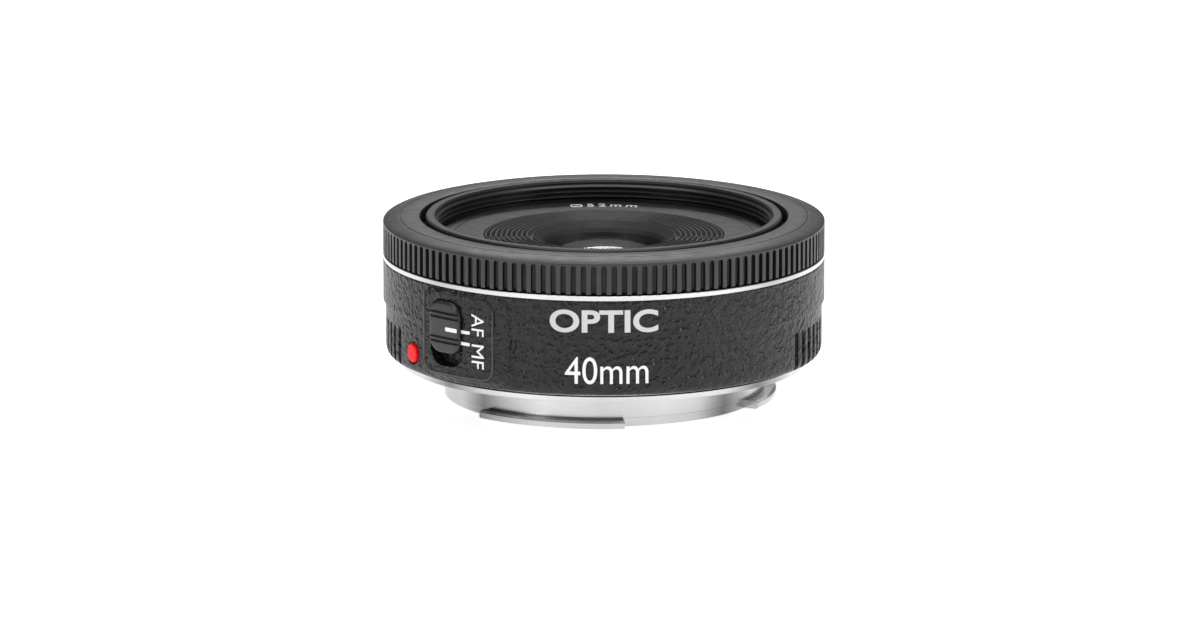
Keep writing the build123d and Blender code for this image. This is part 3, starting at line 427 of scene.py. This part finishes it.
# ---- outer barrel --------------------------------------------------------
def barrel_profile(z):
    """Radius of the plain barrel at height z."""
    return np.interp(z, [1.4, 1.44, 1.55, 1.8, 2.2, 2.7, 8.8, 9.35, 9.58, 9.68, 9.8, 16.05, 16.12, 16.2],
                     [32.8, 33.0, 33.22, 33.46, 33.63, SKIRT_R, SKIRT_R, 33.71, 33.74, 34.03, BODY_R,
                      BODY_R, 34.07, 33.98])


def flute_thetas():
    return [first + i * FLUTE_PITCH for first, last in FLUTE_ARCS
            for i in range(int((last - first) / FLUTE_PITCH) + 1)]


def outer_barrel():
    """Grained barrel with the raised switch area, the switch pocket and the grip flutes."""
    rows = list(np.concatenate([
        [1.4, 1.44, 1.5, 1.6, 1.75, 1.95, 2.2, 2.45], np.arange(2.7, 6.8, 0.3),
        FLUTE_TOP + FLUTE_R * np.sin(np.radians([0, 12, 24, 36, 48, 58, 67, 75, 82, 88])),
        [7.7, 8.0, 8.3, 8.55, 8.8, 9.1, 9.35, 9.5, 9.58, 9.63, 9.68, 9.74, 9.8], np.arange(10.1, 15.6, 0.3),
        [15.6, 15.7, 15.8, 15.88, 15.95],
        [16.0, 16.05, 16.12, 16.2],
    ]))
    flutes = flute_thetas()
    across = (-1.0, -0.96, -0.86, -0.7, -0.48, -0.24, 0.0, 0.24, 0.48, 0.7, 0.86, 0.96, 1.0)
    plain = [t for t in np.arange(-180, 180, 0.3) if min(abs(t - f) for f in flutes) > 1.4]
    columns = sorted([(t, None, 0.0) for t in plain] + [(f + a * 1.25, f, a) for f in flutes for a in across])
    base = np.array([c[0] for c in columns])
    centre = np.array([np.nan if c[1] is None else c[1] for c in columns])
    offset = np.array([c[2] for c in columns])
    full_half = math.sqrt(FLUTE_R ** 2 - 0.1 ** 2)
    theta, radius, height = [], [], []
    for z in rows:
        over = max(0.0, z - FLUTE_TOP)
        half = math.sqrt(max(full_half ** 2 - over ** 2, 0.0009))
        local = np.where(np.isnan(centre), base, centre + np.degrees(offset * half / SKIRT_R))
        s = offset * half
        r = np.full(len(columns), float(barrel_profile(z)))
        inside = FLUTE_R ** 2 - s ** 2 - over ** 2
        floor = SKIRT_R + 0.1 - 1.8 * np.sqrt(np.maximum(inside, 0.0))
        r = np.where(np.isnan(centre) | (over >= full_half), r, np.minimum(r, floor))
        bulge_s = np.radians(local - BULGE_THETA) * BODY_R
        bulge = smooth_step(-box_distance(bulge_s, z - 9.1, 8.7, 6.9, 2.6), -0.15, 0.45)
        r = np.maximum(r, r + (BULGE_R - r) * bulge)
        panel_s = np.radians(local - PANEL_THETA) * BODY_R
        panel = smooth_step(-box_distance(panel_s, z - 9.0, 6.8, 6.0, 1.8), 0.0, 0.4)
        r = r + (32.4 - r) * panel
        dot_s = np.hypot(np.radians(local - DOT_THETA) * SKIRT_R, z - DOT_Z)
        r = r - 0.35 * smooth_step(-dot_s, -1.72, -1.6)
        theta.append(local)
        radius.append(r)
        height.append(np.full(len(columns), z))
    for r, z in [(31.8, 16.2), (31.8, 20.0), (30.6, 20.0), (30.6, 14.7), (32.3, 14.7), (32.3, 9.4),
                 (31.9, 8.3), (31.9, 2.1), (30.5, 2.1), (30.5, 1.25), (31.6, 1.25), (31.6, 1.4)]:
        theta.append(theta[0])
        radius.append(np.full(len(columns), r))
        height.append(np.full(len(columns), z))
    mesh = grid_mesh("barrel_skin", np.array(theta), np.array(radius), np.array(height))
    sharpen(mesh, 40)
    link_piece("barrel_skin", mesh, GRAINED, "housing", "outer_barrel")
    # the flute hollows get the painted shade
    darken_hollows(mesh, GROOVE_SHADE, SKIRT_R - 0.45, (2.1, FLUTE_TOP + FLUTE_R))


# ---- switch panel and knob -----------------------------------------------
def rounded_patch(name, theta, z_range, width, corner, surface, foot_r, step, rows_at=()):
    """Skin over a rounded rectangle wrapped on the barrel; surface(s, z) gives its radius."""
    low, high = z_range
    sweep = np.linspace(0, math.pi, 2 * int((high - low) / step))
    rows = np.concatenate([low + (high - low) * (1 - np.cos(sweep)) / 2,
                           np.arange(low + step, high, step), rows_at])
    rows = np.array(sorted(set(np.round(rows, 3))))
    half = width / 2
    inner = np.arange(-half + 0.4, half - 0.4, step)
    edges = np.array([0.0, 0.03, 0.08, 0.14, 0.2, 0.27, 0.35])
    across = np.concatenate([-half + edges, inner, (half - edges)[::-1]]) / half
    reach = np.minimum(rows - low, high - rows)
    bite = corner - np.sqrt(np.maximum(corner ** 2 - np.maximum(corner - reach, 0.0) ** 2, 0.0))
    s_grid = across[None, :] * (half - bite)[:, None]
    z_grid = np.repeat(rows[:, None], len(across), axis=1)
    r_grid = surface(s_grid, z_grid)
    foot = np.full((len(rows), 1), foot_r)
    s_grid = np.concatenate([s_grid[:, :1], s_grid, s_grid[:, -1:]], axis=1)
    z_grid = np.concatenate([z_grid[:, :1], z_grid, z_grid[:, -1:]], axis=1)
    r_grid = np.concatenate([foot, r_grid, foot], axis=1)
    for edge in (0, -1):
        rim = np.full((1, s_grid.shape[1]), foot_r)
        if edge == 0:
            s_grid, z_grid, r_grid = [np.concatenate(p) for p in
                                      ((s_grid[:1], s_grid), (z_grid[:1], z_grid), (rim, r_grid))]
        else:
            s_grid, z_grid, r_grid = [np.concatenate(p) for p in
                                      ((s_grid, s_grid[-1:]), (z_grid, z_grid[-1:]), (r_grid, rim))]
    angle = math.radians(theta) + s_grid / BODY_R
    points = np.stack([r_grid * np.sin(angle), -r_grid * np.cos(angle), z_grid], axis=-1) * MM
    count_z, count_s = s_grid.shape
    index = np.arange(count_z * count_s).reshape(count_z, count_s)
    quads = np.stack([index[:-1, :-1], index[:-1, 1:], index[1:, 1:], index[1:, :-1]], axis=-1).reshape(-1, 4)
    mesh = bpy.data.meshes.new(name)
    mesh.from_pydata(points.reshape(-1, 3).tolist(), [], quads.tolist())
    mesh.polygons.foreach_set("use_smooth", np.ones(len(mesh.polygons), bool))
    mesh.update()
    return mesh


def switch_panel():
    """Plate with a slightly lowered edge and the slider's slot; its raised border is made by panel_border."""
    low, high = PANEL_Z
    slot_middle, slot_half = sum(SLOT_Z) / 2, (SLOT_Z[1] - SLOT_Z[0]) / 2
    slot_shift = math.radians(SWITCH_THETA - PANEL_THETA) * BODY_R

    def surface(s, z):
        inside = -box_distance(s, z - (low + high) / 2, PANEL_WIDTH / 2, (high - low) / 2, 2.0)
        skirt = smooth_step(-inside, -0.1, 0.0)
        from_slot = box_distance(s - slot_shift, z - slot_middle, SLOT_WIDTH / 2, slot_half, 2.4)
        slot = smooth_step(-from_slot, -0.06, 0.08)
        return PANEL_R - 0.12 * skirt - 1.9 * slot

    mesh = rounded_patch("switch_panel_skin", PANEL_THETA, PANEL_Z, PANEL_WIDTH, 2.0, surface, 33.9, 0.09)
    sharpen(mesh, 50)
    link_piece("switch_panel_skin", mesh, GRAINED, "housing", "switch_plate")


def panel_border():
    """Thin raised line down both sides of the switch plate and along its bottom."""
    half, low, top, corner = PANEL_WIDTH / 2 - 0.2, PANEL_Z[0] + 0.2, 14.4, 1.8
    turns = np.radians(np.linspace(0, 90, 12))
    path = [(-half, z) for z in np.linspace(PANEL_Z[1] - 0.1, low + corner + 0.3, 24)]
    path += [(-half + corner * (1 - math.cos(t)), low + corner * (1 - math.sin(t))) for t in turns]
    path += [(s, low) for s in np.linspace(-half + corner + 0.4, half - corner - 0.4, 24)]
    path += [(half - corner * (1 - math.sin(t)), low + corner * (1 - math.cos(t))) for t in turns]
    path += [(half, z) for z in np.linspace(low + corner + 0.3, top, 24)]
    path = np.array(path)
    along = np.gradient(path, axis=0)
    along /= np.linalg.norm(along, axis=1)[:, None]
    side = np.stack([along[:, 1], -along[:, 0]], axis=1)
    verts, faces, ring = [], [], 9
    for (s, z), (u, v), fade in zip(path, side, np.clip(np.arange(len(path))[::-1] / 6, 0.15, 1.0)):
        for k in range(ring):
            a = math.pi * k / (ring - 1)
            w, h = 0.15 * math.cos(a) * fade, 0.14 * math.sin(a) * fade
            angle = math.radians(PANEL_THETA) + (s + u * w) / BODY_R
            r = PANEL_R - 0.02 + h
            verts.append((r * math.sin(angle) * MM, -r * math.cos(angle) * MM, (z + v * w) * MM))
    for i in range(len(path) - 1):
        for k in range(ring - 1):
            a = i * ring + k
            faces.append((a, a + 1, a + ring + 1, a + ring))
    mesh = bpy.data.meshes.new("panel_border")
    mesh.from_pydata(verts, [], faces)
    mesh.polygons.foreach_set("use_smooth", np.ones(len(mesh.polygons), bool))
    # the raised line is real; its lighter finish is a painted highlight
    link_piece("panel_border", mesh, BORDER_HIGHLIGHT, "housing")


def switch_knob():
    """Crowned slider with two pairs of finger grooves."""
    low, high = KNOB_Z
    middle = (low + high) / 2

    def surface(s, z):
        inside = np.maximum(0.0, -box_distance(s, z - middle, KNOB_WIDTH / 2, (high - low) / 2, 2.2))
        lip = 1 - np.sqrt(np.maximum(0.0, 1 - (1 - np.minimum(inside / 0.5, 1.0)) ** 2))
        crown = 0.22 * (1 - ((z - middle) / (high - low) * 2) ** 2)
        cut = np.zeros_like(s)
        for groove in KNOB_GROOVES:
            cut = np.maximum(cut, np.maximum(0.0, 1 - ((z - groove) / 0.2) ** 2))
        cut = cut * smooth_step(inside, 0.0, 0.3)
        return 34.9 + crown - lip * 0.5 - 0.32 * cut

    mesh = rounded_patch("switch_knob_skin", SWITCH_THETA, KNOB_Z, KNOB_WIDTH, 2.2, surface, 33.0, 0.1,
                         np.concatenate([g + np.linspace(-0.22, 0.22, 9) for g in KNOB_GROOVES]))
    sharpen(mesh, 50)
    link_piece("switch_knob_skin", mesh, KNOB_BLACK, "mode_switch", "switch_knob")


# ---- lettering -----------------------------------------------------------
def flat_text(text, width, height, weight=0.0, thickness=0.1, spacing=1.0):
    """Text as a thick flat mesh, centred, width by height in mm; returned as a bmesh in mm."""
    curve = bpy.data.curves.new("text", "FONT")
    curve.body = text
    curve.size = 1.0
    curve.offset = weight
    curve.space_character = spacing
    curve.extrude = 0.01
    curve.resolution_u = 6
    holder = bpy.data.objects.new("text", curve)
    bpy.context.scene.collection.objects.link(holder)
    bpy.context.view_layer.update()
    mesh = bpy.data.meshes.new_from_object(holder.evaluated_get(bpy.context.evaluated_depsgraph_get()))
    bpy.data.objects.remove(holder)
    bpy.data.curves.remove(curve)
    work = bmesh.new()
    work.from_mesh(mesh)
    bpy.data.meshes.remove(mesh)
    spots = np.array([v.co for v in work.verts])
    low, high = spots.min(0), spots.max(0)
    for v in work.verts:
        v.co.x = ((v.co.x - low[0]) / (high[0] - low[0]) - 0.5) * width
        v.co.y = ((v.co.y - low[1]) / (high[1] - low[1]) - 0.5) * height
        v.co.z = thickness if v.co.z > 0 else 0.0
    bmesh.ops.remove_doubles(work, verts=work.verts, dist=0.0005)
    bmesh.ops.triangulate(work, faces=work.faces)
    for _ in range(3):
        long_edges = [e for e in work.edges if e.calc_length() > 0.7]
        if long_edges:
            bmesh.ops.subdivide_edges(work, edges=long_edges, cuts=1)
            bmesh.ops.triangulate(work, faces=[f for f in work.faces if len(f.verts) > 3])
    return work


def text_piece(name, work, place, material, body):
    """Moves a flat text mesh onto the lens by place(x, y, thickness) and adds it."""
    for v in work.verts:
        v.co = place(*v.co) * MM
    bmesh.ops.recalc_face_normals(work, faces=work.faces)
    mesh = bpy.data.meshes.new(name)
    work.to_mesh(mesh)
    work.free()
    return link_piece(name, mesh, material, body)


def on_barrel(theta, z, radius_at, sink=0.03):
    """Wraps text round the barrel, reading left to right."""
    def place(x, y, t):
        r = radius_at(z + y) - sink + t
        a = math.radians(theta) + x / BODY_R
        return Vector((r * math.sin(a), -r * math.cos(a), z + y))
    return place


def on_panel(theta, z, radius, sink=0.03):
    """As on_barrel, with the text turned to read downwards."""
    def place(x, y, t):
        r = radius - sink + t
        a = math.radians(theta) + y / BODY_R
        return Vector((r * math.sin(a), -r * math.cos(a), z - x))
    return place


def on_face(theta, r_mid, z, sink=0.02):
    """Bends text round the front face, letter tops outwards."""
    def place(x, y, t):
        a = math.radians(theta) - x / r_mid
        r = r_mid + y
        return Vector((r * math.sin(a), -r * math.cos(a), z - sink + t))
    return place


def lettering():
    barrel = lambda z: float(barrel_profile(z))
    text_piece("word_shadow", flat_text("OPTIC", 17.0, 3.95, weight=0.05, thickness=0.045),
               on_barrel(0, 13.15, barrel), DEEP_BLACK, "housing")
    text_piece("word", flat_text("OPTIC", 16.6, 3.55, weight=0.026, thickness=0.09),
               on_barrel(0, 13.15, barrel), SILVER_INK, "housing")
    text_piece("focal_length", flat_text("40mm", 12.9, 4.2, thickness=0.06),
               on_barrel(0.7, 5.42, barrel), WHITE_INK, "housing")
    text_piece("auto_label", flat_text("AF", 3.36, 2.2, thickness=0.06),
               on_panel(-33.85, 11.36, PANEL_R), WHITE_INK, "housing")
    text_piece("manual_label", flat_text("MF", 3.7, 2.2, thickness=0.06),
               on_panel(-33.85, 6.46, PANEL_R), WHITE_INK, "housing")
    text_piece("thread_label", flat_text("Ø52mm", 10.6, 2.1, thickness=0.04, spacing=1.35),
               on_face(180, 22.1, 19.6), WHITE_INK, "inner_barrel")


def bar_mark(name, theta, z, width, height, radius, body):
    """Rounded painted bar on the switch panel or the knob."""
    work = bmesh.new()
    corners = []
    corner = height * 0.3
    for cx, cy, start in ((1, 1, 0), (-1, 1, 90), (-1, -1, 180), (1, -1, 270)):
        for k in range(5):
            a = math.radians(start + 22.5 * k)
            corners.append(((width / 2 - corner) * cx + corner * math.cos(a),
                            (height / 2 - corner) * cy + corner * math.sin(a)))
    face = work.faces.new([work.verts.new((x, y, 0.05)) for x, y in corners])
    raised = bmesh.ops.extrude_face_region(work, geom=[face])
    for v in [g for g in raised["geom"] if isinstance(g, bmesh.types.BMVert)]:
        v.co.z = 0.0
    place = on_barrel(theta, z, lambda _: radius, sink=0.0)
    return text_piece(name, work, place, WHITE_INK, body)


def marks():
    bar_mark("knob_mark", -41.5, 10.12, 2.3, 0.62, 35.12, "mode_switch")
    bar_mark("auto_mark", -37.8, 9.97, 1.81, 0.5, PANEL_R, "housing")
    bar_mark("manual_mark", -37.8, 8.18, 1.81, 0.5, PANEL_R, "housing")


# ---- stage, lights, camera -----------------------------------------------
FLOOR_HALF = 4.0          # metres from the axis to the floor's edge
FLOOR_DROP = 0.02         # gap that keeps the floor off the lowest face
FLOOR_GLOW = 0.68
GLOW_EDGE = 0.5           # width over which the glow fades in
VIEW_ELEVATION = 12.2     # degrees
VIEW_DISTANCE = 1.6       # metres
VIEW_WIDTH = 0.1856       # metres across the picture at the target
SENSOR_WIDTH = 36.0


def area_light(name, place, aim, size, power, shape="RECTANGLE", size_y=None):
    data = bpy.data.lights.new(name, "AREA")
    data.shape = shape
    data.size = size
    data.size_y = size_y or size
    data.energy = power
    lamp = bpy.data.objects.new(name, data)
    bpy.context.scene.collection.objects.link(lamp)
    lamp.location = place
    lamp.rotation_euler = (Vector(aim) - Vector(place)).to_track_quat("-Z", "Y").to_euler()
    return lamp


def stage():
    low = CAD_BOX[0]
    mesh = bpy.data.meshes.new("floor")
    half = FLOOR_HALF
    z = low[2] - FLOOR_DROP * MM
    corners = [(-half, -half, z), (half, -half, z), (half, half, z), (-half, half, z)]
    mesh.from_pydata(corners, [], [(0, 1, 2, 3)])
    floor = bpy.data.objects.new("floor", mesh)
    bpy.context.scene.collection.objects.link(floor)
    s = Shader("floor_white", (0.90, 0.90, 0.90), 0.6)
    s.bsdf.inputs["Specular IOR Level"].default_value = 0.2
    s.bsdf.inputs["Emission Color"].default_value = (1, 1, 1, 1)
    # the glow stops inside the mount, where the lens itself shades the floor
    from_axis = s.node("ShaderNodeVectorMath", operation="LENGTH")
    s.link(s.place, from_axis.inputs[0])
    glow = s.spread(from_axis.outputs["Value"], MOUNT_BORE_R * MM, (MOUNT_BORE_R + GLOW_EDGE) * MM,
                    0.0, FLOOR_GLOW)
    s.link(glow, s.bsdf.inputs["Emission Strength"])
    s.bump(s.noise(3.0), 0.005)
    mesh.materials.append(s.material)


def lights():
    """Soft overhead box, two tall side boxes and a dim room that is darkest to the left and right."""
    world = bpy.data.worlds.new("studio")
    bpy.context.scene.world = world
    world.use_nodes = True
    tree = world.node_tree
    place = tree.nodes.new("ShaderNodeTexCoord")
    split = tree.nodes.new("ShaderNodeSeparateXYZ")
    tree.links.new(place.outputs["Generated"], split.inputs["Vector"])
    square = tree.nodes.new("ShaderNodeMath")
    square.operation = "POWER"
    square.inputs[1].default_value = 2.0
    tree.links.new(split.outputs["X"], square.inputs[0])
    shade = tree.nodes.new("ShaderNodeMapRange")
    for key, number in (("From Min", 0.0), ("From Max", 1.0), ("To Min", 0.26), ("To Max", 0.16)):
        shade.inputs[key].default_value = number
    tree.links.new(square.outputs["Value"], shade.inputs["Value"])
    tree.links.new(shade.outputs["Result"], tree.nodes["Background"].inputs["Strength"])
    tree.nodes["Background"].inputs["Color"].default_value = (1, 1, 1, 1)
    area_light("top", (0, 0.1, 1.0), (0, 0, 0), 1.1, 6, shape="DISK")
    area_light("left", (-0.65, -0.55, 0.50), (0, 0, 0.01), 0.16, 2.6, size_y=0.3)
    area_light("right", (0.85, -0.35, 0.42), (0, 0, 0.01), 0.16, 3.6, size_y=0.3)
    area_light("back", (0.0, 0.9, 0.62), (0, 0, 0.02), 0.34, 1.4, size_y=0.16)


def camera():
    elevation = math.radians(VIEW_ELEVATION)
    target = Vector((-0.6 * MM, 0, 6.8 * MM))
    away = Vector((0, -math.cos(elevation), math.sin(elevation)))
    data = bpy.data.cameras.new("camera")
    data.sensor_width = SENSOR_WIDTH
    data.lens = SENSOR_WIDTH * VIEW_DISTANCE / VIEW_WIDTH
    data.clip_start = 0.05
    data.clip_end = 20.0
    lens = bpy.data.objects.new("camera", data)
    bpy.context.scene.collection.objects.link(lens)
    lens.location = target + away * VIEW_DISTANCE
    lens.rotation_euler = (-away).to_track_quat("-Z", "Y").to_euler()
    bpy.context.scene.camera = lens
    bpy.context.scene.view_settings.view_transform = "Standard"


finish_nodes()
focus_ring()
outer_barrel()
switch_panel()
panel_border()
switch_knob()
lettering()
marks()
stage()
lights()
camera()
